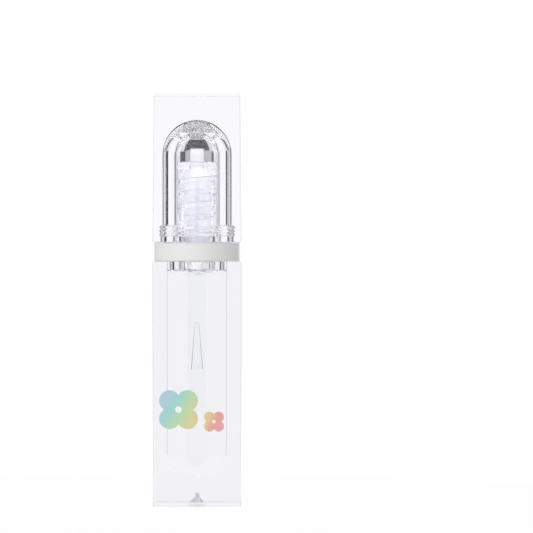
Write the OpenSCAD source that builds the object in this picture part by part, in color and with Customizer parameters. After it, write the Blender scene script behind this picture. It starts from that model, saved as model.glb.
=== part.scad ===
// Square lip gloss tube with a screw cap, a dip wand and a wiper.
// The tube stands on the XY plane with its axis on +Z, and the origin is the centre of its base.

/* [Bottle] */
// Width of the clear bottle across its top
bottle_w = 18; // [17.6:0.1:26]
// Height of the clear bottle, without the collar
bottle_h = 49.1; // [40:0.1:70]
// Draft of the bottle's sides, in degrees
bottle_draft = 0.2; // [0:0.05:0.5]
// Rounding of the bottle's outer edges
bottle_edge_r = 0.5; // [0.2:0.05:1]
// Radius of the round chamber that holds the gloss
chamber_r = 6.1; // [5.6:0.1:7.4]
// Solid thickness of the base under the chamber
base_t = 5.6; // [4:0.1:8]
// Radius where the chamber's wall turns into its floor
chamber_floor_r = 5.1; // [2:0.1:5.5]
// Radius of the moulding gate's recess in the underside
gate_r = 1.6; // [1:0.1:2.5]
// Depth of the straight part of that recess
gate_recess_h = 0.4; // [0.3:0.1:1.2]
// Height of its conical part
gate_cone_h = 1.1; // [0.5:0.1:1.5]
// Radius of the gate's stub above the cone
gate_stub_r = 0.5; // [0.3:0.1:0.8]
// Height of the stub
gate_stub_h = 0.8; // [0.4:0.1:1.2]

/* [Gloss] */
// Space between the gloss and the neck insert's lower end, at the wall
gloss_drop = 0.1; // [0.05:0.05:8]
// How far the surface dips in the middle
gloss_meniscus = 1.1; // [0.5:0.1:1.5]

/* [Neck insert] */
// Length of the skirt pressed into the chamber
skirt_l = 1.9; // [1:0.1:6]
// Wall of the skirt
skirt_wall = 0.5; // [0.4:0.05:1]
// Thickness of the flange on the bottle's top
flange_t = 1.2; // [0.8:0.1:1.6]
// How far the flange reaches past the chamber's wall
flange_lip = 0.7; // [0.4:0.1:1]
// Height of the neck above the collar
neck_h = 14; // [12:0.1:17]
// Core radius of the threaded neck
neck_r = 4.75; // [4.5:0.05:5.7]
// Wall of the neck
neck_wall = 1.02; // [0.8:0.02:1.1]

/* [Thread] */
// Pitch of the single-start thread
thread_pitch = 2.5; // [2:0.1:3]
// Height of both ridges
thread_depth = 0.42; // [0.3:0.02:0.5]
// Width of a ridge at its root
thread_root_w = 1.1; // [0.9:0.05:1.15]
// Width of a ridge at its crest
thread_crest_w = 0.6; // [0.4:0.05:0.7]
// Radial clearance from crest to root
thread_gap = 0.18; // [0.15:0.01:0.3]
// Turns of the ridge on the neck
neck_turns = 2.75; // [1.5:0.25:3]
// Turns of the ridge in the inner cap
cap_turns = 3.75; // [2:0.25:4]

/* [Collar] */
// Width of the square collar
collar_w = 17.3; // [17:0.1:26]
// Height of the collar
collar_h = 3.8; // [2.5:0.1:6]
// Rounding of its outer edges
collar_edge_r = 0.3; // [0.1:0.05:0.6]

/* [Outer cap] */
// Width of the cap at its mouth
cap_w = 17.96; // [17.6:0.02:26]
// Height of the cap
cap_h = 29.83; // [27:0.01:40]
// Draft of the cap's sides, in degrees
cap_draft = 0.57; // [0:0.01:0.8]
// Rounding of the cap's outer edges
cap_edge_r = 0.4; // [0.2:0.05:0.8]
// Radius of the domed cavity
cavity_r = 7.05; // [6.8:0.05:7.4]
// Solid thickness above the dome
cap_top_t = 5.08; // [3:0.01:7]
// Radius of the counterbore in the mouth
counterbore_r = 7.7; // [7.6:0.05:8.2]
// Depth of the counterbore
counterbore_h = 3.35; // [2.5:0.05:4]

/* [Inner cap] */
// Wall of the threaded sleeve outside its thread
sleeve_wall = 0.65; // [0.5:0.05:0.8]
// Thickness of the closed top
ceiling_t = 1.4; // [1:0.1:2]
// Rounding of the top's outer edge
ceiling_edge_r = 0.5; // [0.2:0.1:0.9]
// How far the flange sits up inside the cap's mouth
flange_recess = 1.1; // [0.5:0.05:2]
// Number of bead rings around the flange
bead_count = 3; // [2:1:4]
// Depth of the grooves between the beads
bead_depth = 0.25; // [0.1:0.05:0.3]
// Length of the boss that grips the wand's end
boss_l = 4; // [2:0.1:6]
// Height of the ring that seals on the wiper's rim
seal_h = 0.3; // [0.2:0.05:0.4]

/* [Wiper] */
// Wall of the wiper's tube
wiper_wall = 0.6; // [0.4:0.05:0.7]
// Thickness of the rim on top of the neck
wiper_rim_t = 0.5; // [0.3:0.1:0.8]
// How far the tube stops short of the skirt's lower end
wiper_short = 0.5; // [0.2:0.1:3]
// Height of the wiping lip's lower edge above the tube's end
lip_rise = 1.4; // [0.5:0.1:3]
// Height of the lip's cone
lip_h = 1.6; // [1:0.1:3]
// Thickness of the lip
lip_t = 0.35; // [0.25:0.05:0.5]

/* [Wand] */
// Radius of the clear stem
stem_r = 1.86; // [1.6:0.02:2.3]
// Height of the wand's end above the chamber's floor
wand_gap = 2.1; // [1:0.1:4]
// Radius of the applicator's head
head_r = 2.06; // [1.9:0.02:2.4]
// Length of the applicator's head
head_l = 11.5; // [8:0.1:14]
// Radius of the neck between the head and the stem's end
waist_r = 1.9; // [1.5:0.02:2]
// Length of that neck
waist_l = 1.4; // [0.8:0.1:2]
// Radius of the shank inside the stem
shank_r = 1.18; // [0.9:0.02:1.3]
// Length of the shank
shank_l = 8.1; // [5:0.1:10]
// Radius of the nub on the shank's end
nub_r = 0.6; // [0.4:0.05:0.8]
// Length of the nub
nub_l = 1; // [0.5:0.1:1.5]
// Length of the tapered hollow above the shank
hollow_l = 9.5; // [6:0.1:14]
// Radius of the hollow's narrow end
hollow_end_r = 0.45; // [0.3:0.05:0.8]

/* [Foil mark] */
// Thickness of the stamped foil
foil_t = 0.06; // [0.04:0.01:0.15]
// Half width of the large blossom
blossom_r = 3.9; // [2.5:0.1:4.4]
// Half width of the small blossom
small_blossom_r = 2; // [1:0.1:2.5]
// Radius of a petal, as a share of its blossom's half width
petal_share = 0.54; // [0.51:0.01:0.65]
// Radius of the hole in a blossom, as a share of its half width
eye_share = 0.17; // [0.1:0.01:0.25]
// Place of the large blossom's centre across the front
blossom_x = -3.7; // [-4:0.1:0]
// Height of the large blossom's centre
blossom_z = 19.4; // [10:0.1:30]
// Place of the small blossom's centre, across from the large one's
small_blossom_dx = 7.1; // [6.5:0.1:8]
// Height of the small blossom's centre, below the large one's
small_blossom_dz = 2.4; // [-6:0.1:6]

/* [Fits] */
// Gap around pieces that are pressed, welded or glued together
fit_gap = 0.02; // [0.01:0.01:0.04]
// Radial gap of the wand in the cap's boss
running_gap = 0.03; // [0.02:0.01:0.1]
// Gap between the collar and the closed cap
closing_gap = 0.1; // [0.05:0.01:0.3]
// Gap around the wand where it passes through other pieces
passing_gap = 0.06; // [0.04:0.01:0.15]
// Gap between the boss and the wiper's tube
boss_gap = 0.3; // [0.15:0.05:0.4]
// Gap between the seal ring and the wiper's rim
seal_gap = 0.1; // [0.05:0.05:0.3]
// Gap between the foil and the bottle's face
foil_gap = 0.01; // [0.005:0.005:0.02]

/* [Hidden] */
$fn = 64;

// Facets of a rounded block's corners
corner_fn = 16;
// Sections in a full turn of a thread
turn_steps = 24;
// Angle over which a thread's ridge rises from its root at each end
thread_fade = 45;
// How deep a ridge is rooted in its wall
ridge_root = 0.2;
// A cut or a joined shape runs this far past the face that it meets
over = 0.1;

// Heights, from the base up
bottle_top = bottle_h;
skirt_z = bottle_top - skirt_l;
collar_z = bottle_top + fit_gap;
collar_top = collar_z + collar_h;
cap_z = collar_top + closing_gap;
cap_top = cap_z + cap_h;
neck_top = collar_top + neck_h;
rim_top = neck_top + wiper_rim_t;
ceiling_z = rim_top + seal_gap + seal_h;
inner_cap_top = ceiling_z + ceiling_t;
inner_cap_z = cap_z + flange_recess;
counterbore_top = cap_z + counterbore_h;
dome_z = cap_top - cap_top_t - cavity_r;

// Radii, from the thread outwards and from the neck inwards
neck_crest_r = neck_r + thread_depth;
sleeve_root_r = neck_crest_r + thread_gap;
sleeve_crest_r = sleeve_root_r - thread_depth;
sleeve_r = sleeve_root_r + sleeve_wall;
neck_bore_r = neck_r - neck_wall;
skirt_r = chamber_r - fit_gap;
skirt_bore_r = skirt_r - skirt_wall;
flange_r = chamber_r + flange_lip;
wiper_r = neck_bore_r - fit_gap;
wiper_bore_r = wiper_r - wiper_wall;
wiper_z = skirt_z + wiper_short;
orifice_r = max(head_r, stem_r) + passing_gap;
boss_r = wiper_bore_r - boss_gap;
bead_r = counterbore_r - 2 * fit_gap;

// Wand, from its end up
wand_z = base_t + wand_gap;
head_top = wand_z + head_l;
shank_top = head_top + shank_l;
hollow_top = shank_top + hollow_l;
socket_r = shank_r + fit_gap;
stem_top = ceiling_z + ceiling_t / 2;

function bottle_half_at(z) = bottle_w / 2 - (bottle_top - z) * tan(bottle_draft);

// A ball whose equator and poles lie exactly at its radius
module corner_ball(r) {
  rotate_extrude($fn = corner_fn)
    intersection() {
      circle(r, $fn = corner_fn);
      translate([0, -r])
        square([r, 2 * r]);
    }
}

// A square block with rounded edges, whose half width goes from low_half to top_half
module rounded_block(low_half, top_half, z_low, z_top, r) {
  hull()
    for (x = [-1, 1], y = [-1, 1], end = [[low_half, z_low + r], [top_half, z_top - r]])
      translate([x * (end[0] - r), y * (end[0] - r), end[1]])
        corner_ball(r);
}

// A ring or a disc between two radii and two heights, as an outline to be revolved
module band(r_in, r_out, z_low, z_top) {
  translate([r_in, z_low])
    square([r_out - r_in, z_top - z_low]);
}

// Half of the chamber's outline up to z_top, smaller than the chamber by inset
module chamber_outline(z_top, inset) {
  r = chamber_r - inset;
  floor_r = chamber_floor_r - inset;
  z_low = base_t + inset;
  turn_z = z_low + floor_r;
  band(0, r, turn_z, z_top);
  band(0, r - floor_r, z_low, turn_z + over);
  intersection() {
    translate([r - floor_r, turn_z])
      circle(floor_r);
    band(r - floor_r, r, z_low, turn_z + over);
  }
}

// A helical ridge from z_low to z_top; root_r is where it leaves its wall, and crest_r its crest
module thread_ridge(root_r, crest_r, z_low, z_top, z_phase) {
  outward = sign(crest_r - root_r);
  buried_r = root_r - outward * ridge_root;
  first = 360 * (z_low - z_phase) / thread_pitch;
  last = 360 * (z_top - z_phase) / thread_pitch;
  steps = ceil((last - first) * turn_steps / 360);
  function rise(a) = max(0.02, min(1, (a - first) / thread_fade, (last - a) / thread_fade));
  function at(r, a, z) = [r * cos(a), r * sin(a), z_phase + thread_pitch * a / 360 + z];
  function tip_r(a) = root_r + (crest_r - root_r) * rise(a);
  function section(a) = [
    at(buried_r, a, -thread_root_w / 2),
    at(tip_r(a), a, -thread_crest_w / 2),
    at(tip_r(a), a, thread_crest_w / 2),
    at(buried_r, a, thread_root_w / 2)
  ];
  points = [for (i = [0:steps]) each section(first + (last - first) * i / steps)];
  function side(i, k, n) = outward > 0
    ? [[4 * i + k, 4 * i + n, 4 * i + 4 + n], [4 * i + k, 4 * i + 4 + n, 4 * i + 4 + k]]
    : [[4 * i + k, 4 * i + 4 + n, 4 * i + n], [4 * i + k, 4 * i + 4 + k, 4 * i + 4 + n]];
  sides = [for (i = [0:steps - 1], k = [0:3]) each side(i, k, (k + 1) % 4)];
  end = 4 * steps;
  low_end = outward > 0 ? [[0, 2, 1], [0, 3, 2]] : [[0, 1, 2], [0, 2, 3]];
  top_end = outward > 0
    ? [[end, end + 1, end + 2], [end, end + 2, end + 3]]
    : [[end, end + 2, end + 1], [end, end + 3, end + 2]];
  polyhedron(points, concat(sides, low_end, top_end), convexity = 6);
}

// A blossom of four round petals with a round eye, 2 * r across
module blossom(r) {
  petal_r = r * petal_share;
  reach = r - petal_r;
  difference() {
    union() {
      square(2 * reach, center = true);
      for (x = [-1, 1], y = [-1, 1])
        translate([x * reach, y * reach])
          circle(petal_r);
    }
    circle(r * eye_share);
  }
}

module bottle() {
  color([0.96, 0.96, 0.98, 0.35])
    difference() {
      rounded_block(bottle_half_at(0), bottle_w / 2, 0, bottle_top, bottle_edge_r);
      rotate_extrude()
        chamber_outline(bottle_top + over, 0);
      translate([0, 0, -over])
        cylinder(r = gate_r, h = gate_recess_h + over);
      translate([0, 0, gate_recess_h])
        cylinder(r1 = gate_r, r2 = gate_stub_r, h = gate_cone_h);
      translate([0, 0, gate_recess_h])
        cylinder(r = gate_stub_r, h = gate_cone_h + gate_stub_h);
    }
}

module neck_insert() {
  flange_top = bottle_top + flange_t;
  thread_top = neck_top - thread_root_w;
  color([0.95, 0.95, 0.96])
    union() {
      rotate_extrude() {
        band(skirt_bore_r, skirt_r, skirt_z, bottle_top + over);
        band(neck_bore_r, flange_r, bottle_top, flange_top);
        band(neck_bore_r, neck_r, bottle_top, neck_top);
      }
      thread_ridge(neck_r, neck_crest_r, thread_top - neck_turns * thread_pitch, thread_top, 0);
    }
}

module wiper() {
  lip_z = wiper_z + lip_rise;
  color([0.93, 0.93, 0.95])
    rotate_extrude() {
      band(wiper_bore_r, wiper_r, wiper_z, neck_top + over);
      band(wiper_bore_r, neck_r, neck_top + fit_gap, rim_top);
      polygon([
        [orifice_r, lip_z],
        [orifice_r + lip_t, lip_z],
        [wiper_bore_r + over, lip_z + lip_h],
        [wiper_bore_r + over, lip_z + lip_h + lip_t],
        [wiper_bore_r, lip_z + lip_h + lip_t],
        [orifice_r, lip_z + lip_t]
      ]);
    }
}

module collar() {
  flange_top = bottle_top + flange_t + fit_gap;
  color([0.72, 0.73, 0.75])
    difference() {
      rounded_block(collar_w / 2, collar_w / 2, collar_z, collar_top, collar_edge_r);
      translate([0, 0, collar_z - over])
        cylinder(r = flange_r + fit_gap, h = flange_top - collar_z + over);
      translate([0, 0, collar_z])
        cylinder(r = neck_r + fit_gap, h = collar_h + over);
    }
}

module gloss_fill() {
  rim_z = skirt_z - gloss_drop;
  r = chamber_r - fit_gap;
  meniscus_r = (r * r + gloss_meniscus * gloss_meniscus) / (2 * gloss_meniscus);
  bore_r = orifice_r;
  color([0.98, 0.94, 0.96, 0.3])
    difference() {
      rotate_extrude()
        chamber_outline(rim_z, fit_gap);
      translate([0, 0, rim_z - gloss_meniscus + meniscus_r])
        sphere(meniscus_r);
      translate([0, 0, wand_z + head_r])
        sphere(bore_r);
      translate([0, 0, wand_z + head_r])
        cylinder(r = bore_r, h = rim_z - wand_z);
    }
}

module foil_mark() {
  color([0.55, 0.75, 0.85])
    translate([0, -bottle_half_at(0) - foil_gap, 0])
      rotate([90 + bottle_draft, 0, 0])
        linear_extrude(foil_t) {
          translate([blossom_x, blossom_z])
            blossom(blossom_r);
          translate([blossom_x + small_blossom_dx, blossom_z - small_blossom_dz])
            blossom(small_blossom_r);
        }
}

module outer_cap() {
  top_half = cap_w / 2 - cap_h * tan(cap_draft);
  color([0.97, 0.97, 0.99, 0.35])
    difference() {
      rounded_block(cap_w / 2, top_half, cap_z, cap_top, cap_edge_r);
      translate([0, 0, cap_z - over])
        cylinder(r = counterbore_r, h = counterbore_h + over);
      translate([0, 0, cap_z])
        cylinder(r = cavity_r, h = dome_z - cap_z);
      translate([0, 0, dome_z])
        sphere(cavity_r);
    }
}

module inner_cap() {
  flange_top = counterbore_top - fit_gap;
  bead_h = (flange_top - inner_cap_z) / bead_count;
  thread_top = ceiling_z - thread_root_w / 2 - seal_h;
  color([0.9, 0.91, 0.95])
    union() {
      rotate_extrude() {
        band(sleeve_root_r, sleeve_r, inner_cap_z, ceiling_z);
        band(sleeve_root_r, bead_r - bead_depth, inner_cap_z, flange_top);
        for (i = [0:bead_count - 1])
          translate([bead_r - bead_h / 2, inner_cap_z + (i + 0.5) * bead_h])
            circle(bead_h / 2);
        band(stem_r + running_gap, sleeve_r - ceiling_edge_r, ceiling_z, stem_top);
        band(0, sleeve_r - ceiling_edge_r, stem_top + running_gap, inner_cap_top);
        band(stem_r + running_gap, sleeve_r, ceiling_z, inner_cap_top - ceiling_edge_r);
        intersection() {
          translate([sleeve_r - ceiling_edge_r, inner_cap_top - ceiling_edge_r])
            circle(ceiling_edge_r);
          band(0, sleeve_r, inner_cap_top - ceiling_edge_r, inner_cap_top);
        }
        band(stem_r + running_gap, boss_r, ceiling_z - boss_l, ceiling_z + over);
        band(wiper_bore_r + wiper_wall / 2, neck_r - wiper_wall / 2, ceiling_z - seal_h, ceiling_z + over);
      }
      thread_ridge(
        sleeve_root_r, sleeve_crest_r, thread_top - cap_turns * thread_pitch, thread_top, thread_pitch / 2
      );
    }
}

module wand_stem() {
  color([0.9, 0.93, 0.98, 0.5])
    difference() {
      translate([0, 0, head_top])
        cylinder(r = stem_r, h = stem_top - head_top);
      translate([0, 0, head_top - over])
        cylinder(r = socket_r, h = shank_l + over);
      translate([0, 0, shank_top])
        cylinder(r1 = socket_r, r2 = hollow_end_r, h = hollow_l);
    }
}

module applicator_tip() {
  color([0.95, 0.95, 0.96])
    union() {
      translate([0, 0, wand_z + head_r])
        sphere(head_r);
      translate([0, 0, wand_z + head_r])
        cylinder(r = head_r, h = head_l - head_r - waist_l);
      translate([0, 0, head_top - waist_l])
        cylinder(r = waist_r, h = waist_l - fit_gap);
      translate([0, 0, head_top - waist_l])
        cylinder(r = shank_r, h = waist_l + shank_l - fit_gap);
      translate([0, 0, shank_top - waist_l])
        cylinder(r = nub_r, h = waist_l + nub_l);
    }
}

bottle();
neck_insert();
wiper();
collar();
gloss_fill();
foil_mark();
outer_cap();
inner_cap();
wand_stem();
applicator_tip();
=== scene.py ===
"""Looks of the square lip gloss tube: clear block bottle, collar, domed clear cap and dip wand.

Everything is in metres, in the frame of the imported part: +Z up, the front on -Y, the base on z = 0.
"""
import math

import bpy
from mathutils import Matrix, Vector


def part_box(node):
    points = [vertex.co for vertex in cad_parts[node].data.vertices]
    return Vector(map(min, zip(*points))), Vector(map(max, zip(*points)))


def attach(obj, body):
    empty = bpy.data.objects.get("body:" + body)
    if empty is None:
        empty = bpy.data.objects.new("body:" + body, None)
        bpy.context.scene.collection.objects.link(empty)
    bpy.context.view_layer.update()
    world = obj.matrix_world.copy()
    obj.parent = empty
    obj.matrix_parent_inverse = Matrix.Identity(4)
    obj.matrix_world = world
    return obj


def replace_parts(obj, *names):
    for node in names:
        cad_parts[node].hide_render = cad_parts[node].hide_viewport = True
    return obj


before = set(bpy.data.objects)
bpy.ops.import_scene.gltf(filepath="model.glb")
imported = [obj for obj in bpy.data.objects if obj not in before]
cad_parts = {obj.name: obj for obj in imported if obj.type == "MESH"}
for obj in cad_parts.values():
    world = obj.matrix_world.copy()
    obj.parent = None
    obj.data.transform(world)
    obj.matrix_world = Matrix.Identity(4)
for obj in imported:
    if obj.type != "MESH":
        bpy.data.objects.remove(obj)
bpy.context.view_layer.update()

MM = 0.001
FIT = 0.02 * MM


# ---------------------------------------------------------------- outlines and turned pieces

class Outline:
    """The half outline of a piece around +Z, drawn with the solid on its left.

    A point is (size, z, corner): size is a radius, or a half width where corner rounds a square.
    """

    def __init__(self, size, z, corner=None):
        self.points = [(size, z, corner)]
        self.normals = []
        self.skins = []

    def line(self, size, z, corner=None, skin=0, steps=1):
        """A straight stretch to a new point, in equal steps."""
        size0, z0, corner0 = self.points[-1]
        run, rise = size - size0, z - z0
        length = math.hypot(run, rise)
        normal = (rise / length, -run / length)
        for k in range(1, steps + 1):
            t = k / steps
            between = corner if corner is None or corner0 is None else corner0 + t * (corner - corner0)
            self.points.append((size0 + t * run, z0 + t * rise, between))
            self.normals.append((normal, normal))
            self.skins.append(skin)
        return self

    def arc(self, centre, radius, start, end, corner=None, skin=0, steps=10):
        """A round stretch about centre, between two angles in degrees, with the solid inside if they grow.

        corner is the rounding of the square where the arc meets its side.
        """
        side = 1 if end > start else -1
        facing = []
        for k in range(steps + 1):
            angle = math.radians(start + (end - start) * k / steps)
            facing.append((side * math.cos(angle), side * math.sin(angle)))
            if k:
                rounding = None if corner is None else corner - radius * (1 - math.cos(angle))
                size = max(0.0, centre[0] + radius * math.cos(angle))
                self.points.append((size, centre[1] + radius * math.sin(angle), rounding))
                self.normals.append((facing[k - 1], facing[k]))
                self.skins.append(skin)
        return self

    def close(self, skin=0):
        """A straight stretch back to the first point, for a ring-shaped piece."""
        size, z, corner = self.points[0]
        return self.line(size, z, corner, skin)


CORNER_STEPS = 8
SIDE_STEPS = 36
ROUND_STEPS = 192
CORNER_SHARE = 0.06  # rounding of the unit square whose directions a squared piece's round stretches take


def square_stations():
    """(quarter, "corner" or "side", share of the way along it) all round a square."""
    stations = []
    for quarter in range(4):
        for k in range(CORNER_STEPS):
            stations.append((quarter, "corner", k / CORNER_STEPS))
        for k in range(SIDE_STEPS):
            stations.append((quarter, "side", k / SIDE_STEPS))
    return stations


def turned_quarter(x, y, quarter):
    """A point or a direction turned by quarters of a full turn."""
    for _ in range(quarter):
        x, y = -y, x
    return x, y


def square_section(size, corner):
    """[(x, y, outward x, outward y)] round a square of that half width, from its first corner's start."""
    ring = []
    flat = size - corner
    for quarter, part, t in square_stations():
        if part == "corner":
            angle = math.radians(90 * t)
            place = (flat + corner * math.cos(angle), flat + corner * math.sin(angle))
            facing = (math.cos(angle), math.sin(angle))
        else:
            place = (flat * (1 - 2 * t), size)
            facing = (0.0, 1.0)
        ring.append(turned_quarter(*place, quarter) + turned_quarter(*facing, quarter))
    return ring


def round_section(size, angles):
    """[(x, y, outward x, outward y)] round a circle, at those angles."""
    return [(size * math.cos(a), size * math.sin(a), math.cos(a), math.sin(a)) for a in angles]


def revolve(name, outline, finishes, exact=True):
    """A closed mesh from an outline, one finish for each skin, with exact normals unless told not to."""
    squared = any(corner is not None for _, _, corner in outline.points)
    if squared:
        reference = square_section(1.0, CORNER_SHARE)
        angles = [math.atan2(y, x) for x, y, _, _ in reference]
    else:
        angles = [2 * math.pi * k / ROUND_STEPS for k in range(ROUND_STEPS)]
    count = len(angles)
    closed = outline.points[0] == outline.points[-1]
    rows = outline.points[:-1] if closed else outline.points
    vertices, rings, sections = [], [], []
    for size, z, corner in rows:
        section = round_section(size, angles) if corner is None else square_section(size, corner)
        sections.append(section)
        if size < 1e-9:
            rings.append([len(vertices)] * count)
            vertices.append((0.0, 0.0, z))
        else:
            rings.append(list(range(len(vertices), len(vertices) + count)))
            vertices += [(x, y, z) for x, y, _, _ in section]
    faces, normals, skins = [], [], []
    for i, (low_normal, high_normal) in enumerate(outline.normals):
        j = (i + 1) % len(rows)
        for k in range(count):
            m = (k + 1) % count
            corners = [(i, k, low_normal), (i, m, low_normal), (j, m, high_normal), (j, k, high_normal)]
            face, facing = [], []
            for row, station, (across, up) in corners:
                vertex = rings[row][station]
                if vertex in face:
                    continue
                _, _, out_x, out_y = sections[row][station]
                face.append(vertex)
                facing.append((across * out_x, across * out_y, up))
            if len(face) > 2:
                faces.append(face)
                normals += facing
                skins.append(outline.skins[i])
    mesh = bpy.data.meshes.new(name)
    mesh.from_pydata(vertices, [], faces)
    for finish in finishes:
        mesh.materials.append(finish)
    mesh.polygons.foreach_set("material_index", skins)
    if exact:
        mesh.shade_smooth()
        mesh.normals_split_custom_set(normals)
    mesh.update()
    piece = bpy.data.objects.new(name, mesh)
    bpy.context.scene.collection.objects.link(piece)
    return piece


# ---------------------------------------------------------------- node graphs

class Field:
    """A socket's value, which takes part in Python arithmetic by adding Math nodes."""

    def __init__(self, graph, socket):
        self.graph = graph
        self.socket = socket

    def _math(self, operation, *values):
        return self.graph.field("ShaderNodeMath", {"operation": operation}, dict(enumerate(values)))

    def __add__(self, other):
        return self._math("ADD", self, other)

    def __sub__(self, other):
        return self._math("SUBTRACT", self, other)

    def __mul__(self, other):
        return self._math("MULTIPLY", self, other)

    def __truediv__(self, other):
        return self._math("DIVIDE", self, other)

    def __radd__(self, other):
        return self._math("ADD", other, self)

    def __rsub__(self, other):
        return self._math("SUBTRACT", other, self)

    def __rmul__(self, other):
        return self._math("MULTIPLY", other, self)

    def __abs__(self):
        return self._math("ABSOLUTE", self)

    def smallest(self, other):
        return self._math("MINIMUM", self, other)

    def largest(self, other):
        return self._math("MAXIMUM", self, other)

    def below(self, limit):
        return self._math("LESS_THAN", self, limit)

    def round(self):
        return self._math("ROUND", self)

    def angle_from(self, other):
        """The angle, in radians, whose tangent is this over other."""
        return self._math("ARCTAN2", self, other)

    def arcsine(self):
        return self._math("ARCSINE", self)

    def ramp(self, low, high, smooth=True):
        """0 at low and 1 at high, and level outside them."""
        kind = "SMOOTHSTEP" if smooth else "LINEAR"
        inputs = {"Value": self, "From Min": low, "From Max": high}
        return self.graph.field("ShaderNodeMapRange", {"interpolation_type": kind}, inputs, "Result")


class Graph:
    """A node tree that is written as expressions."""

    def __init__(self, tree):
        self.tree = tree
        tree.nodes.clear()

    def node(self, kind, settings=None, inputs=None):
        """A node of one type, with its settings and then the values or links of its sockets."""
        made = self.tree.nodes.new(kind)
        for key, value in (settings or {}).items():
            if key == "stops":
                self._set_stops(made.color_ramp, value)
            else:
                setattr(made, key, value)
        for key, value in (inputs or {}).items():
            socket = made.inputs[key]
            if isinstance(value, Field):
                value = value.socket
            if isinstance(value, bpy.types.NodeSocket):
                self.tree.links.new(value, socket)
            else:
                socket.default_value = value
        return made

    def field(self, kind, settings=None, inputs=None, output=0):
        """The same, as the value of one of the node's outputs."""
        return Field(self, self.node(kind, settings, inputs).outputs[output])

    def _set_stops(self, ramp, stops):
        while len(ramp.elements) < len(stops):
            ramp.elements.new(1.0)
        for element, (place, colour) in zip(ramp.elements, stops):
            element.position = place
            element.color = (*colour, 1.0)

    def joined(self, x, y, z):
        """A vector from its three parts."""
        return self.field("ShaderNodeCombineXYZ", None, {0: x, 1: y, 2: z})

    def blend(self, share, first, second):
        """Two colours or colour links mixed by share."""
        settings = {"data_type": "RGBA"}
        inputs = {0: share, 6: first, 7: second}
        return self.field("ShaderNodeMix", settings, inputs, 2)

    def place(self):
        """The piece's own coordinates in metres, as a vector and as x, y and z."""
        here = self.field("ShaderNodeTexCoord", None, None, "Object")
        split = self.node("ShaderNodeSeparateXYZ", None, {0: here})
        return here, [Field(self, split.outputs[k]) for k in range(3)]

    def grain(self, where, size, detail=3.0, roughness=0.55):
        """Noise from 0 to 1 whose features are about that size, in metres."""
        inputs = {"Vector": where, "Scale": 1.0 / size, "Detail": detail, "Roughness": roughness}
        return self.field("ShaderNodeTexNoise", None, inputs, 0)

    def bumped(self, height, depth, strength=1.0):
        """A normal from a height of 0 to 1 that stands for that depth, in metres."""
        inputs = {"Height": height, "Distance": depth, "Strength": strength}
        return self.field("ShaderNodeBump", None, inputs, "Normal")


def new_finish(name):
    """An empty material and its graph."""
    material = bpy.data.materials.new(name)
    material.use_nodes = True
    return material, Graph(material.node_tree)


def close_finish(graph, shader):
    """Joins a shader to the material's output."""
    graph.node("ShaderNodeOutputMaterial", None, {"Surface": shader.outputs[0]})


def clear_shader(graph, ior, tint, haze, normal=None):
    """A see-through plastic of that index against what lies outside it."""
    inputs = {"Base Color": tint, "Roughness": haze, "IOR": ior, "Transmission Weight": 1.0}
    if normal is not None:
        inputs["Normal"] = normal
    return graph.node("ShaderNodeBsdfPrincipled", None, inputs)


# ---------------------------------------------------------------- threads

def thread_tree():
    """Nodes that raise a helical ridge on the wall of one radius of a turned piece."""
    tree = bpy.data.node_groups.new("raise_thread", "GeometryNodeTree")
    graph = Graph(tree)
    tree.interface.new_socket("Geometry", in_out="INPUT", socket_type="NodeSocketGeometry")
    lengths = ("Wall", "Depth", "Pitch", "Phase", "Root Width", "Crest Width", "Low", "High", "Run-out")
    for name in lengths:
        tree.interface.new_socket(name, in_out="INPUT", socket_type="NodeSocketFloat")
    tree.interface.new_socket("Finish", in_out="INPUT", socket_type="NodeSocketMaterial")
    tree.interface.new_socket("Geometry", in_out="OUTPUT", socket_type="NodeSocketGeometry")
    given = graph.node("NodeGroupInput")
    size = {name: Field(graph, given.outputs[name]) for name in given.outputs.keys() if name}
    here = graph.field("GeometryNodeInputPosition")
    split = graph.node("ShaderNodeSeparateXYZ", None, {0: here})
    x, y, z = [Field(graph, split.outputs[k]) for k in range(3)]
    turn = y.angle_from(x) / (2 * math.pi)
    radius = graph.field("ShaderNodeVectorMath", {"operation": "LENGTH"}, {0: graph.joined(x, y, 0.0)}, 1)
    turns_up = (z - size["Phase"]) / size["Pitch"] - turn
    ridge = turns_up.round()
    off_crest = abs(turns_up - ridge) * size["Pitch"]
    middle = size["Phase"] + (ridge + turn) * size["Pitch"]
    height = 1.0 - off_crest.ramp(size["Crest Width"] / 2, size["Root Width"] / 2)
    starts = middle.ramp(size["Low"], size["Low"] + size["Run-out"])
    ends = 1.0 - middle.ramp(size["High"] - size["Run-out"], size["High"])
    on_wall = 1.0 - abs(radius - size["Wall"]).ramp(0.005 * MM, 0.01 * MM)
    lift = height * starts * ends * on_wall * size["Depth"] / radius
    offset = graph.joined(x * lift, y * lift, 0.0)
    moved = graph.node("GeometryNodeSetPosition", None, {"Geometry": size["Geometry"], "Offset": offset})
    real = graph.node("GeometryNodeRealizeInstances", None, {0: moved.outputs[0]})
    half_depth = size["Depth"] / 2
    off_ridge = abs(radius - size["Wall"] - half_depth) - abs(half_depth)
    inputs = {0: real.outputs[0], "Selection": off_ridge.below(0.02 * MM), "Material": size["Finish"]}
    finished = graph.node("GeometryNodeSetMaterial", None, inputs)
    graph.node("NodeGroupOutput", None, {0: finished.outputs[0]})
    return tree


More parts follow.
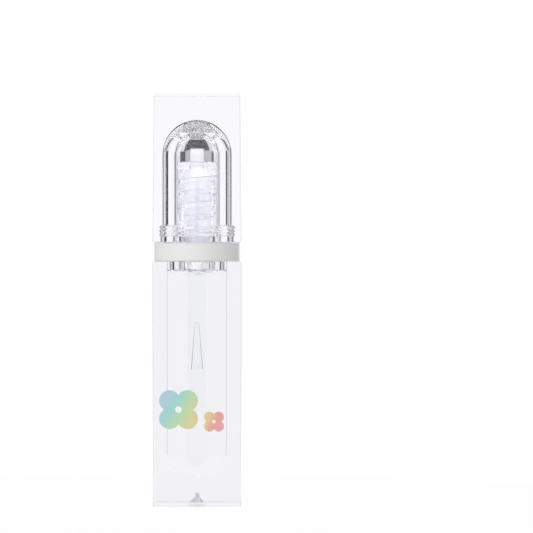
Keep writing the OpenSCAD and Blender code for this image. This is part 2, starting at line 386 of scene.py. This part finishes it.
def threaded(piece, tree, sizes, finish):
    """The piece with its thread raised, as a plain mesh with crisp edges."""
    modifier = piece.modifiers.new("thread", "NODES")
    modifier.node_group = tree
    for item in tree.interface.items_tree:
        if item.in_out == "INPUT" and item.name in sizes:
            modifier[item.identifier] = sizes[item.name]
        if item.in_out == "INPUT" and item.name == "Finish":
            modifier[item.identifier] = finish
    depsgraph = bpy.context.evaluated_depsgraph_get()
    mesh = bpy.data.meshes.new_from_object(piece.evaluated_get(depsgraph))
    piece.modifiers.remove(modifier)
    mesh.name = piece.name
    piece.data = mesh
    mesh.shade_smooth()
    mesh.set_sharp_from_angle(angle=math.radians(35))
    return piece


# ---------------------------------------------------------------- finishes

# Refractive indices against air. The WET and BONDED ones are the faint step left at a wetted or joined wall.
BLOCK_IOR = 1.5
CAP_IOR = 1.49
SOFT_IOR = 1.5
THIN_IOR = 1.18
GLOSS_IOR = 1.46
WET_BLOCK_IOR = 1.012
WET_WAND_IOR = 1.01
BONDED_IOR = 1.015


def polished_block(name, ior, tint):
    """Moulded clear plastic: polished, with faint flow waves and hairlines from handling."""
    material, graph = new_finish(name)
    here, _ = graph.place()
    waves = graph.grain(here, 9 * MM, detail=1.0)
    hairlines = graph.grain(here, 0.5 * MM, detail=4.0)
    haze = hairlines.ramp(0.55, 0.9) * 0.02
    normal = graph.bumped(waves, 0.002 * MM)
    close_finish(graph, clear_shader(graph, ior, tint, haze, normal))
    return material


def frosted_dome(name, ior, tint, apex):
    """The cap's dome, polished but for a grained patch over its crown that reaches lower at the front."""
    material, graph = new_finish(name)
    here, (x, y, z) = graph.place()
    drop = apex - z
    front = 1.0 - y.ramp(-0.6 * MM, 0.6 * MM)
    depth = 1.0 * MM + front * (1.5 * MM)
    foot = 1.0 - drop.ramp(depth, depth + 0.2 * MM)
    crown = foot * (1.0 - (abs(x) - drop * 0.5).ramp(1.9 * MM, 2.1 * MM))
    grains = graph.grain(here, 0.8 * MM, detail=1.0)
    speckle = graph.grain(here, 0.35 * MM, detail=1.0)
    haze = crown * (0.15 + speckle.ramp(0.4, 0.6) * 0.2)
    normal = graph.bumped((grains + speckle) * crown, 0.5 * MM)
    close_finish(graph, clear_shader(graph, ior, tint, haze, normal))
    return material


def rippled_gloss(name, ior, tint):
    """The free surface of a thick gloss, still uneven from the wand."""
    material, graph = new_finish(name)
    here, _ = graph.place()
    ripples = graph.grain(here, 3 * MM, detail=1.0)
    strings = graph.grain(here, 1 * MM, detail=2.0)
    haze = 0.02 + strings.ramp(0.4, 0.7) * 0.08
    normal = graph.bumped(ripples + strings * 0.3, 0.6 * MM)
    close_finish(graph, clear_shader(graph, ior, tint, haze, normal))
    return material


def unseen_contact(name):
    """Where gloss lies against a wall that already bends the light for both."""
    material, graph = new_finish(name)
    here, _ = graph.place()
    clouds = graph.grain(here, 4 * MM)
    tint = graph.blend(clouds, (1.0, 1.0, 1.0, 1.0), (0.995, 0.996, 0.998, 1.0))
    close_finish(graph, clear_shader(graph, 1.0, tint, 0.0))
    return material


def milky_plastic(name, ior, tint, haze, milk):
    """Unpigmented soft plastic: see-through, with a satin skin and a share of milk in it."""
    material, graph = new_finish(name)
    here, _ = graph.place()
    skin = graph.grain(here, 0.6 * MM)
    inputs = {
        "Base Color": graph.blend(skin * 0.5, tint, (1.0, 1.0, 1.0, 1.0)),
        "Roughness": haze + skin.ramp(0.3, 0.8) * haze,
        "IOR": ior,
        "Transmission Weight": 1.0 - milk,
        "Normal": graph.bumped(skin, 0.002 * MM),
    }
    close_finish(graph, graph.node("ShaderNodeBsdfPrincipled", None, inputs))
    return material


def wand_finish(name, dry_ior, wet_ior, tint, painted_refraction_tint, gloss_level):
    """Clear plastic that bends light less in the gloss, with painted blue refraction in strips along the
    rod, strongest in the cap.
    """
    material, graph = new_finish(name)
    here, (x, y, z) = graph.place()
    streaks = graph.grain(here, 1.5 * MM)
    haze = streaks.ramp(0.5, 0.9) * 0.02
    in_cap = z.ramp(inner_low.z - 2 * MM, inner_low.z + 2 * MM)
    gripped = in_cap * (1.0 - z.ramp(CEILING_Z - 2 * MM, CEILING_Z - 1 * MM))
    # Painted blue refraction: strips on the rod's front and back in the cap, and fainter ones along its
    # sides, are tinted blue for the refraction seen through it.
    front_line = 1.0 - abs(x).ramp(0.4 * MM, 0.6 * MM)
    side_line = 1.0 - abs(y).ramp(0.35 * MM, 0.55 * MM)
    painted_blue_refraction = (gripped * front_line).largest(0.3 * side_line)
    dry = clear_shader(graph, dry_ior, graph.blend(painted_blue_refraction, tint, painted_refraction_tint), haze)
    wet = clear_shader(graph, wet_ior, tint, haze)
    world_place = graph.field("ShaderNodeNewGeometry", None, None, "Position")
    height = Field(graph, graph.node("ShaderNodeSeparateXYZ", None, {0: world_place}).outputs[2])
    in_air = height.ramp(gloss_level, gloss_level + 0.05 * MM, smooth=False)
    inputs = {0: in_air, 1: wet.outputs[0], 2: dry.outputs[0]}
    close_finish(graph, graph.node("ShaderNodeMixShader", None, inputs))
    return material


def satin_silver(name, bow_r):
    """Matte silver plating with a fine sparkle, on faces that bow out a little to radius bow_r."""
    material, graph = new_finish(name)
    here, (x, y, _) = graph.place()
    sparkle = graph.grain(here, 0.07 * MM, detail=2.0)
    clouds = graph.grain(here, 5 * MM)
    tone = graph.blend(sparkle, (0.82, 0.82, 0.82, 1.0), (0.96, 0.96, 0.96, 1.0))
    tone = graph.blend(clouds * 0.3, tone, (0.86, 0.86, 0.86, 1.0))
    bow = (x * x + y * y) / (-2 * bow_r)
    inputs = {
        "Base Color": tone,
        "Metallic": 1.0,
        "Roughness": 0.26 + sparkle * 0.1,
        "Normal": graph.bumped(bow + sparkle * (0.004 * MM), 1.0),
    }
    close_finish(graph, graph.node("ShaderNodeBsdfPrincipled", None, inputs))
    return material


FOIL_STOPS = [
    (0.0, (0.58, 0.66, 0.82)),
    (0.2, (0.42, 0.75, 0.72)),
    (0.38, (0.56, 0.78, 0.5)),
    (0.56, (0.79, 0.72, 0.38)),
    (0.72, (0.85, 0.66, 0.4)),
    (0.84, (0.88, 0.44, 0.37)),
    (1.0, (0.87, 0.46, 0.62)),
]


def rainbow_foil(name, low, high):
    """Stamped foil whose colour runs across the mark and down it, with a fine embossed grain."""
    material, graph = new_finish(name)
    here, (x, _, z) = graph.place()
    drift = graph.grain(here, 6 * MM, detail=1.0)
    across = (x - low.x) / (high.x - low.x)
    down = (high.z - z) / (high.z - low.z)
    along = across * 0.75 + down * 0.3 + drift * 0.1 - 0.1
    colour = graph.field("ShaderNodeValToRGB", {"stops": FOIL_STOPS}, {"Fac": along}, "Color")
    grain = graph.grain(here, 0.05 * MM)
    inputs = {
        "Base Color": colour,
        "Metallic": 1.0,
        "Roughness": 0.3 + grain * 0.15,
        "Normal": graph.bumped(grain, 0.002 * MM),
    }
    close_finish(graph, graph.node("ShaderNodeBsdfPrincipled", None, inputs))
    return material


# ---------------------------------------------------------------- sizes from the frame

bottle_low, bottle_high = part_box("bottle")
insert_low, insert_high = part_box("neck_insert")
wiper_low, wiper_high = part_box("wiper")
collar_low, collar_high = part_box("collar")
gloss_low, gloss_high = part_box("gloss_fill")
cap_low, cap_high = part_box("outer_cap")
inner_low, inner_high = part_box("inner_cap")
stem_low, stem_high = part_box("wand_stem")
tip_low, tip_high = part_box("applicator_tip")

CHAMBER_R = gloss_high.x + FIT
CHAMBER_FLOOR = gloss_low.z - FIT
CHAMBER_TURN_R = 5.1 * MM
BOTTLE_DRAFT = math.radians(0.2)
BOTTLE_EDGE_R = 0.05 * MM
GLOSS_RIM = gloss_high.z
MENISCUS = 1.1 * MM
SURFACE_STEPS = 24
GLOSS_LEVEL = GLOSS_RIM - MENISCUS
SKIRT_LOW = insert_low.z
GATE_R = 1.6 * MM
GATE_RECESS = 0.4 * MM
GATE_CONE = 1.1 * MM
GATE_STUB_R = 0.5 * MM
GATE_STUB = 0.8 * MM

COLLAR_EDGE_R = 0.25 * MM
COLLAR_CORNER_R = 0.45 * MM

CAP_DRAFT = math.radians(0.57)
CAP_EDGE_R = 0.06 * MM
CAVITY_R = 7.05 * MM
CAP_TOP_T = 5.08 * MM
COUNTERBORE_R = inner_high.x + 2 * FIT
COUNTERBORE_H = 3.35 * MM

STEM_R = stem_high.x
SOCKET_R = 1.2 * MM
HOLLOW_END_R = 0.45 * MM
HOLLOW_L = 9.5 * MM
SHANK_L = 8.1 * MM
HEAD_R = tip_high.x
NUB_R = 0.6 * MM
NUB_EDGE_R = 0.3 * MM
WAIST_L = 1.4 * MM
WAIST_R = 1.9 * MM
HEAD_CLEARANCE = 0.06 * MM
ORIFICE_R = HEAD_R + HEAD_CLEARANCE

SKIRT_R = CHAMBER_R - FIT
SKIRT_BORE_R = SKIRT_R - 0.5 * MM
FLANGE_T = 1.2 * MM
FLANGE_TOP = bottle_high.z + FLANGE_T
NECK_R = 4.75 * MM
NECK_BORE_R = 3.73 * MM
THREAD_PITCH = 2.5 * MM
THREAD_DEPTH = 0.42 * MM
THREAD_ROOT_W = 1.1 * MM
THREAD_CREST_W = 0.6 * MM
THREAD_RUN_OUT = 0.5 * MM
NECK_TURNS = 2.75
CAP_TURNS = 3.75
ROW_STEP = 0.055 * MM

WIPER_BORE_R = 3.11 * MM
WIPER_R = 3.71 * MM
WIPER_RIM_T = 0.5 * MM
LIP_RISE = 1.4 * MM
LIP_H = 1.6 * MM
LIP_T = 0.35 * MM

SLEEVE_ROOT_R = 5.35 * MM
SLEEVE_R = 6.0 * MM
CEILING_T = 1.4 * MM
CEILING_Z = inner_high.z - CEILING_T
CEILING_EDGE_R = 0.5 * MM
BOSS_CLEARANCE = 0.03 * MM
STEM_HOLE_R = STEM_R + BOSS_CLEARANCE
BOSS_R = 2.81 * MM
BOSS_L = 4 * MM
SEAL_H = 0.3 * MM
SEAL_R = (3.41 * MM, 4.45 * MM)
BEAD_COUNT = 3
BEAD_DEPTH = 0.25 * MM
GROOVE_SHARE = 0.94


# ---------------------------------------------------------------- finishes of this tube

CLEAR = (0.985, 0.985, 0.995, 1.0)
MILK = (0.985, 0.99, 0.995, 1.0)
WIPER_MILK = (0.995, 0.985, 0.975, 1.0)
# The blue painted into the wand's stem and tip for the refraction seen in them.
PAINTED_REFRACTION_BLUE = (0.12, 0.38, 0.6, 1.0)
WIPER_IOR = 1.06
WET_RIM = GLOSS_LEVEL + MENISCUS * (ORIFICE_R / gloss_high.x) ** 2

block_finish = polished_block("block_plastic", BLOCK_IOR, (0.893, 0.893, 0.926, 1.0))
wet_wall = polished_block("wetted_chamber_wall", WET_BLOCK_IOR, (1.0, 1.0, 0.995, 1.0))
gate_finish = milky_plastic("gate_scar", 1.35, (0.93, 0.95, 0.98, 1.0), 0.05, 0.75)
bonded_wall = polished_block("bonded_wall", BONDED_IOR, CLEAR)
cap_finish = polished_block("cap_plastic", CAP_IOR, (0.955, 0.95, 0.99, 1.0))
dome_finish = frosted_dome("grained_dome", CAP_IOR, (0.99, 0.99, 1.0, 1.0), cap_high.z - CAP_TOP_T)
gloss_finish = rippled_gloss("gloss_surface", GLOSS_IOR, (0.58, 0.61, 0.69, 1.0))
contact_finish = unseen_contact("gloss_contact")
insert_finish = milky_plastic("insert_plastic", THIN_IOR, (0.95, 0.955, 0.97, 1.0), 0.01, 0.13)
skirt_finish = polished_block("skirt_plastic", SOFT_IOR, (0.98, 0.98, 0.985, 1.0))
wiper_finish = milky_plastic("wiper_plastic", WIPER_IOR, WIPER_MILK, 0.01, 0.06)
wiper_end_finish = milky_plastic("wiper_end", WIPER_IOR, WIPER_MILK, 0.01, 0.4)
liner_finish = milky_plastic("liner_plastic", 1.25, MILK, 0.01, 0.08)
liner_thread_finish = milky_plastic("liner_thread", THIN_IOR, MILK, 0.02, 0.18)
stem_finish = wand_finish("stem_plastic", THIN_IOR, WET_WAND_IOR, (0.965, 0.97, 0.975, 1.0), PAINTED_REFRACTION_BLUE, WET_RIM)
tip_finish = wand_finish("tip_plastic", THIN_IOR, WET_WAND_IOR, (0.985, 0.985, 0.985, 1.0), PAINTED_REFRACTION_BLUE, WET_RIM)
hollow_finish = polished_block("rod_hollow", 1.05, CLEAR)
socket_finish = polished_block("rod_socket", 1.008, (1.0, 1.0, 0.998, 1.0))
silver_finish = satin_silver("satin_silver", 45 * MM)
foil_finish = rainbow_foil("rainbow_foil", *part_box("foil_mark"))


# ---------------------------------------------------------------- pieces

def smooth_normals(outline, skin):
    """Lets neighbouring stretches of one skin share the normal halfway between theirs."""
    stretches = [i for i, s in enumerate(outline.skins) if s == skin]
    for a, b in zip(stretches, stretches[1:]):
        if b == a + 1:
            across = outline.normals[a][1][0] + outline.normals[b][0][0]
            up = outline.normals[a][1][1] + outline.normals[b][0][1]
            length = math.hypot(across, up)
            shared = (across / length, up / length)
            outline.normals[a] = (outline.normals[a][0], shared)
            outline.normals[b] = (shared, outline.normals[b][1])


def make_bottle():
    """The clear block with its round-bottomed chamber and the gate's recess in the base."""
    top, half_top = bottle_high.z, bottle_high.x
    edge = BOTTLE_EDGE_R
    half_low = half_top - top * math.tan(BOTTLE_DRAFT)
    cone_top = GATE_RECESS + GATE_CONE
    turn_z = CHAMBER_FLOOR + CHAMBER_TURN_R
    turn_x = CHAMBER_R - CHAMBER_TURN_R
    block, wet, bonded, gate = 0, 1, 2, 3
    outline = Outline(0, cone_top + GATE_STUB)
    outline.line(GATE_STUB_R, cone_top + GATE_STUB, skin=gate).line(GATE_STUB_R, cone_top, skin=gate)
    outline.line(GATE_R, GATE_RECESS, skin=gate).line(GATE_R, 0, skin=bonded)
    outline.line(half_low - edge, 0, 0.0)
    outline.arc((half_low - edge, edge), edge, -90, 0, corner=edge, skin=block)
    outline.line(half_top, top - edge, edge)
    outline.arc((half_top - edge, top - edge), edge, 0, 90, corner=edge)
    outline.line(CHAMBER_R, top)
    outline.line(CHAMBER_R, SKIRT_LOW, skin=bonded)
    outline.line(CHAMBER_R, turn_z, skin=wet)
    outline.arc((turn_x, turn_z), CHAMBER_TURN_R, 0, -90, skin=wet, steps=32)
    outline.line(0, CHAMBER_FLOOR, skin=wet)
    return revolve("clear_bottle", outline, [block_finish, wet_wall, bonded_wall, gate_finish])


def make_gloss():
    """The gloss: unseen where it touches, with a surface that climbs towards the wall."""
    r = gloss_high.x
    turn_r = CHAMBER_TURN_R - FIT
    turn_z = gloss_low.z + turn_r
    bore = ORIFICE_R
    well = tip_low.z - HEAD_CLEARANCE
    surface = 1
    outline = Outline(0, gloss_low.z).line(r - turn_r, gloss_low.z)
    outline.arc((r - turn_r, turn_z), turn_r, -90, 0, steps=32)
    outline.line(r, GLOSS_RIM)
    for k in range(1, SURFACE_STEPS + 1):
        size = r + (bore - r) * k / SURFACE_STEPS
        outline.line(size, GLOSS_LEVEL + MENISCUS * (size / r) ** 2, skin=surface)
    outline.line(bore, well + bore)
    outline.arc((0, well + bore), bore, 0, -90, steps=24)
    smooth_normals(outline, surface)
    return revolve("gloss", outline, [contact_finish, gloss_finish])


def make_collar():
    """The square silver ring, rounded a little along its edges, with a recess for the insert's flange."""
    low, top, half = collar_low.z, collar_high.z, collar_high.x
    edge = COLLAR_EDGE_R
    corner = COLLAR_CORNER_R
    bore = NECK_R + FIT
    recess_r = insert_high.x + FIT
    recess_top = FLANGE_TOP + FIT
    outline = Outline(bore, recess_top).line(recess_r, recess_top).line(recess_r, low)
    outline.line(half - edge, low, corner - edge)
    outline.arc((half - edge, low + edge), edge, -90, 0, corner=corner)
    outline.line(half, top - edge, corner)
    outline.arc((half - edge, top - edge), edge, 0, 90, corner=corner)
    outline.line(bore, top).close()
    return revolve("silver_collar", outline, [silver_finish])


def make_outer_cap():
    """The clear block cap: counterbore, polished cavity and grained dome."""
    low, top, half = cap_low.z, cap_high.z, cap_high.x
    edge = CAP_EDGE_R
    half_top = half - (top - low) * math.tan(CAP_DRAFT)
    dome_z = top - CAP_TOP_T - CAVITY_R
    step_z = low + COUNTERBORE_H
    block, dome = 0, 1
    outline = Outline(0, dome_z + CAVITY_R)
    outline.arc((0, dome_z), CAVITY_R, 90, 0, skin=dome, steps=48)
    outline.line(CAVITY_R, step_z).line(COUNTERBORE_R - BEAD_DEPTH, step_z)
    bead_h = (step_z - FIT - inner_low.z) / BEAD_COUNT
    for i in reversed(range(BEAD_COUNT)):
        middle = inner_low.z + (i + 0.5) * bead_h
        groove = bead_h / 2 * GROOVE_SHARE
        reach = (groove ** 2 + BEAD_DEPTH ** 2) / (2 * BEAD_DEPTH)
        swing = math.degrees(math.asin(groove / reach))
        outline.line(COUNTERBORE_R - BEAD_DEPTH, middle + groove)
        outline.arc((COUNTERBORE_R - reach, middle), reach, swing, -swing, steps=8)
    outline.line(COUNTERBORE_R - BEAD_DEPTH, low)
    outline.line(half - edge, low, 0.0)
    outline.arc((half - edge, low + edge), edge, -90, 0, corner=edge, skin=block)
    outline.line(half_top, top - edge, edge)
    outline.arc((half_top - edge, top - edge), edge, 0, 90, corner=edge)
    outline.line(0, top)
    return revolve("clear_cap", outline, [cap_finish, dome_finish])


def make_neck_insert(tree):
    """The threaded neck, its flange, and the skirt that plugs the chamber."""
    low, top = insert_low.z, insert_high.z
    round_r = (SKIRT_R - SKIRT_BORE_R) / 2
    flange_r = insert_high.x
    seat = bottle_high.z + FIT
    thread_top = top - THREAD_ROOT_W
    thread_low = thread_top - NECK_TURNS * THREAD_PITCH
    rows = round((top - FLANGE_TOP) / ROW_STEP)
    bonded, bore = 1, 2
    outline = Outline(SKIRT_BORE_R, low + round_r)
    outline.arc((SKIRT_BORE_R + round_r, low + round_r), round_r, 180, 360, skin=bore)
    outline.line(SKIRT_R, seat, skin=bonded)
    outline.line(flange_r, seat).line(flange_r, FLANGE_TOP).line(NECK_R, FLANGE_TOP)
    outline.line(NECK_R, top, steps=rows)
    outline.line(NECK_BORE_R, top).line(NECK_BORE_R, seat).line(SKIRT_BORE_R, seat).close(skin=bore)
    piece = revolve("neck_plug", outline, [insert_finish, bonded_wall, skirt_finish], exact=False)
    sizes = {
        "Wall": NECK_R,
        "Depth": THREAD_DEPTH,
        "Pitch": THREAD_PITCH,
        "Phase": 0.0,
        "Root Width": THREAD_ROOT_W,
        "Crest Width": THREAD_CREST_W,
        "Low": thread_low,
        "High": thread_top,
        "Run-out": THREAD_RUN_OUT,
    }
    return threaded(piece, tree, sizes, insert_finish)


def make_wiper():
    """The soft sleeve inside the neck, whose slanted lip wipes the wand."""
    low, top = wiper_low.z, wiper_high.z
    lip = low + LIP_RISE
    seat = top - WIPER_RIM_T + FIT
    below_neck = 1
    outline = Outline(WIPER_BORE_R, low).line(WIPER_R, low, skin=below_neck)
    outline.line(WIPER_R, bottle_high.z, skin=below_neck).line(WIPER_R, seat)
    outline.line(wiper_high.x, seat).line(wiper_high.x, top).line(WIPER_BORE_R, top)
    outline.line(WIPER_BORE_R, lip + LIP_H + LIP_T).line(ORIFICE_R, lip + LIP_T).line(ORIFICE_R, lip)
    outline.line(ORIFICE_R + LIP_T, lip).line(WIPER_BORE_R, lip + LIP_H).close()
    return revolve("wiper_sleeve", outline, [wiper_finish, wiper_end_finish])


def make_inner_cap(tree):
    """The frosted liner: threaded sleeve, beaded flange, and the boss that grips the wand."""
    low, top = inner_low.z, inner_high.z
    ceiling = CEILING_Z
    flange_top = cap_low.z + COUNTERBORE_H - FIT
    bead_h = (flange_top - low) / BEAD_COUNT
    bead_x = inner_high.x - bead_h / 2
    groove_r = inner_high.x - BEAD_DEPTH
    half_angle = math.degrees(math.acos((groove_r - bead_x) / (bead_h / 2)))
    thread_top = ceiling - THREAD_ROOT_W / 2 - SEAL_H
    rows = round((ceiling - low) / ROW_STEP)
    hole_end = stem_high.z + BOSS_CLEARANCE
    outline = Outline(0, hole_end).line(STEM_HOLE_R, hole_end)
    outline.line(STEM_HOLE_R, ceiling - BOSS_L).line(BOSS_R, ceiling - BOSS_L).line(BOSS_R, ceiling)
    outline.line(SEAL_R[0], ceiling).line(SEAL_R[0], ceiling - SEAL_H)
    outline.line(SEAL_R[1], ceiling - SEAL_H).line(SEAL_R[1], ceiling).line(SLEEVE_ROOT_R, ceiling)
    outline.line(SLEEVE_ROOT_R, low, steps=rows).line(groove_r, low)
    for i in range(BEAD_COUNT):
        middle = low + (i + 0.5) * bead_h
        start = middle - bead_h / 2 * math.sin(math.radians(half_angle))
        outline.line(groove_r, start)
        outline.arc((bead_x, middle), bead_h / 2, -half_angle, half_angle, steps=8)
    outline.line(groove_r, flange_top).line(SLEEVE_R, flange_top).line(SLEEVE_R, top - CEILING_EDGE_R)
    outline.arc((SLEEVE_R - CEILING_EDGE_R, top - CEILING_EDGE_R), CEILING_EDGE_R, 0, 90).line(0, top)
    piece = revolve("cap_liner", outline, [liner_finish, liner_thread_finish], exact=False)
    sizes = {
        "Wall": SLEEVE_ROOT_R,
        "Depth": -THREAD_DEPTH,
        "Pitch": THREAD_PITCH,
        "Phase": THREAD_PITCH / 2,
        "Root Width": THREAD_ROOT_W,
        "Crest Width": THREAD_CREST_W,
        "Low": thread_top - CAP_TURNS * THREAD_PITCH,
        "High": thread_top,
        "Run-out": THREAD_RUN_OUT,
    }
    return threaded(piece, tree, sizes, liner_thread_finish)


def make_stem():
    """The wand's clear rod, with the socket and the tapered hollow that the mould's pin leaves."""
    low, top = stem_low.z, stem_high.z
    shank_top = low + SHANK_L
    hollow_top = shank_top + HOLLOW_L
    outer, dry, gripped = 0, 1, 2
    outline = Outline(0, hollow_top)
    outline.arc((0, hollow_top - HOLLOW_END_R), HOLLOW_END_R, 90, 0, skin=dry)
    outline.line(SOCKET_R, shank_top, skin=dry).line(SOCKET_R, low, skin=gripped)
    outline.line(STEM_R, low, skin=outer).line(STEM_R, top, skin=outer).line(0, top)
    return revolve("wand_rod", outline, [stem_finish, hollow_finish, socket_finish])


def make_tip():
    """The bullet-shaped applicator with its waist, shank and nub."""
    low, top = tip_low.z, tip_high.z
    head_top = stem_low.z - FIT
    waist_z = stem_low.z - WAIST_L
    shank_top = stem_low.z + SHANK_L - FIT
    shank_r = SOCKET_R - FIT
    edge = HEAD_R - WAIST_R
    nub_edge = NUB_EDGE_R
    outer, gripped, dry = 0, 1, 2
    outline = Outline(0, low)
    outline.arc((0, low + HEAD_R), HEAD_R, -90, 0, steps=32).line(HEAD_R, waist_z - edge)
    outline.arc((WAIST_R, waist_z - edge), edge, 0, 90, steps=4)
    outline.line(WAIST_R, head_top).line(shank_r, head_top, skin=gripped)
    outline.line(shank_r, shank_top, skin=gripped).line(NUB_R, shank_top, skin=dry)
    outline.line(NUB_R, top - nub_edge, skin=dry)
    outline.arc((NUB_R - nub_edge, top - nub_edge), nub_edge, 0, 90, skin=dry).line(0, top, skin=dry)
    return revolve("applicator", outline, [tip_finish, socket_finish, hollow_finish])


def dress(node, finish):
    """Gives a carried node a finish of its own."""
    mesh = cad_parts[node].data
    mesh.materials.clear()
    mesh.materials.append(finish)


bottle = make_bottle()
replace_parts(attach(bottle, "bottle"), "bottle")
gloss = make_gloss()
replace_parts(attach(gloss, "bottle"), "gloss_fill")
collar = make_collar()
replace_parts(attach(collar, "bottle"), "collar")
outer_cap = make_outer_cap()
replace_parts(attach(outer_cap, "cap"), "outer_cap")

thread = thread_tree()
neck_insert = make_neck_insert(thread)
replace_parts(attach(neck_insert, "bottle"), "neck_insert")
wiper = make_wiper()
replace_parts(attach(wiper, "bottle"), "wiper")
inner_cap = make_inner_cap(thread)
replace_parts(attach(inner_cap, "cap"), "inner_cap")
stem = make_stem()
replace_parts(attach(stem, "wand"), "wand_stem")
tip = make_tip()
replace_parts(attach(tip, "wand"), "applicator_tip")

dress("foil_mark", foil_finish)


# ---------------------------------------------------------------- studio

SOFT_LIGHT = 0.9  # met by light that milky plastic scatters
SOFT_LIGHT_IN_WALLS = 5.8  # the same, behind six clear walls or more
SEEN_LIGHT = 1.05  # met by the camera itself
TABLE_R = 0.09
TABLE_SIDES = 64
TABLE_DROP = 0.01 * MM


def from_to(angle, low, high):
    """0 below low and 1 above high, both in degrees, for an angle in radians."""
    return angle.ramp(math.radians(low), math.radians(high))


def make_studio():
    """A white sweep behind, dark gaps beside it and white panels at the sides and above."""
    world = bpy.data.worlds.new("studio")
    bpy.context.scene.world = world
    world.use_nodes = True
    graph = Graph(world.node_tree)
    look = graph.field("ShaderNodeTexCoord", None, None, "Generated")
    split = graph.node("ShaderNodeSeparateXYZ", None, {0: look})
    x, y, z = [Field(graph, split.outputs[k]) for k in range(3)]
    turn = abs(x).angle_from(y)
    rise = z.arcsine()
    right = x.ramp(-0.03, 0.03)
    level_look = 1.0 - from_to(abs(rise), 10, 16)
    narrow = 1.0 - from_to(turn, 15, 20)
    sweep = narrow * (1.0 - from_to(rise, 15, 19))
    panels = from_to(turn, 55, 60)
    fill = 0.5 * level_look * (1.0 - from_to(turn, 30, 34))
    right_fill = 0.5 * right * level_look * (1.0 - from_to(turn, 42, 47))
    flags = from_to(turn, 118, 126) * (1.0 - from_to(turn, 150, 164))
    key_side = from_to(turn, 130, 150) * x.ramp(-0.15, 0.45)
    overhead = from_to(rise, 51, 57)
    corners = 0.75 * from_to(rise, 8, 13) * from_to(turn, 35, 40)
    below = 0.8 * from_to(0.0 - rise, 8, 14)
    sides = panels * (1.0 - flags * 0.45) * (1.0 - key_side * 0.5)
    gaps = fill.largest(right_fill).largest(corners)
    level = 0.03 + 0.97 * sweep.largest(gaps).largest(sides).largest(overhead).largest(below)
    path = graph.node("ShaderNodeLightPath")
    seen = Field(graph, path.outputs["Is Camera Ray"])
    scattered = Field(graph, path.outputs["Diffuse Depth"]).smallest(1.0)
    walls = Field(graph, path.outputs["Transmission Depth"]).ramp(3.5, 6.0)
    soft_light = SOFT_LIGHT + walls * (SOFT_LIGHT_IN_WALLS - SOFT_LIGHT)
    level = level * (1.0 - scattered) + scattered * soft_light
    colour = graph.blend(level.ramp(0.0, 0.5), (0.8, 0.8, 1.0, 1.0), (1.0, 1.0, 1.0, 1.0))
    strength = level * (1.0 - seen) + seen * SEEN_LIGHT
    plain = graph.blend(seen, colour, (1.0, 1.0, 1.0, 1.0))
    shade = graph.node("ShaderNodeBackground", None, {"Color": plain, "Strength": strength})
    graph.node("ShaderNodeOutputWorld", None, {"Surface": shade.outputs[0]})


def make_floor():
    """A plain white table, lit from within enough to stay white, with a painted shadow that dims it beneath
    the tube.
    """
    material, graph = new_finish("white_table")
    here, (x, y, _) = graph.place()
    clouds = graph.grain(here, 0.4)
    # Painted shadow: the table's emission is dimmed inside the tube's square footprint, as a contact shadow.
    painted_shadow_footprint = 1.0 - abs(x).largest(abs(y)).ramp(bottle_high.x - 0.5 * MM, bottle_high.x)
    emission_with_painted_shadow = graph.blend(painted_shadow_footprint, (1.0, 1.0, 1.0, 1.0), (0.66, 0.68, 0.73, 1.0))
    inputs = {
        "Base Color": graph.blend(clouds, (0.003, 0.003, 0.003, 1.0), (0.005, 0.005, 0.005, 1.0)),
        "Roughness": 0.9,
        "Specular IOR Level": 0.0,
        "Emission Color": emission_with_painted_shadow,
        "Emission Strength": 0.985,
    }
    close_finish(graph, graph.node("ShaderNodeBsdfPrincipled", None, inputs))
    mesh = bpy.data.meshes.new("table")
    angles = [2 * math.pi * k / TABLE_SIDES for k in range(TABLE_SIDES)]
    ring = [(TABLE_R * math.cos(angle), TABLE_R * math.sin(angle), 0.0) for angle in angles]
    mesh.from_pydata(ring, [], [list(range(TABLE_SIDES))])
    mesh.materials.append(material)
    table = bpy.data.objects.new("table", mesh)
    bpy.context.scene.collection.objects.link(table)
    table.location.z = bottle_low.z - TABLE_DROP


def make_camera():
    """A long lens, square to the front, with the tube left of the middle."""
    data = bpy.data.cameras.new("camera")
    data.lens = 202
    data.sensor_width = 36
    data.shift_x = 0.1304
    camera = bpy.data.objects.new("camera", data)
    camera.location = (0, -0.6085, 0.0481)
    camera.rotation_euler = (math.pi / 2, 0, 0)
    bpy.context.scene.collection.objects.link(camera)
    bpy.context.scene.camera = camera


def set_up_light_paths():
    """Enough bounces for light to pass every clear wall there and back."""
    scene = bpy.context.scene
    scene.cycles.max_bounces = 40
    scene.cycles.transmission_bounces = 40
    scene.cycles.glossy_bounces = 16
    scene.cycles.diffuse_bounces = 16
    scene.cycles.transparent_max_bounces = 16
    scene.view_settings.view_transform = "Standard"


make_studio()
make_floor()
make_camera()
set_up_light_paths()
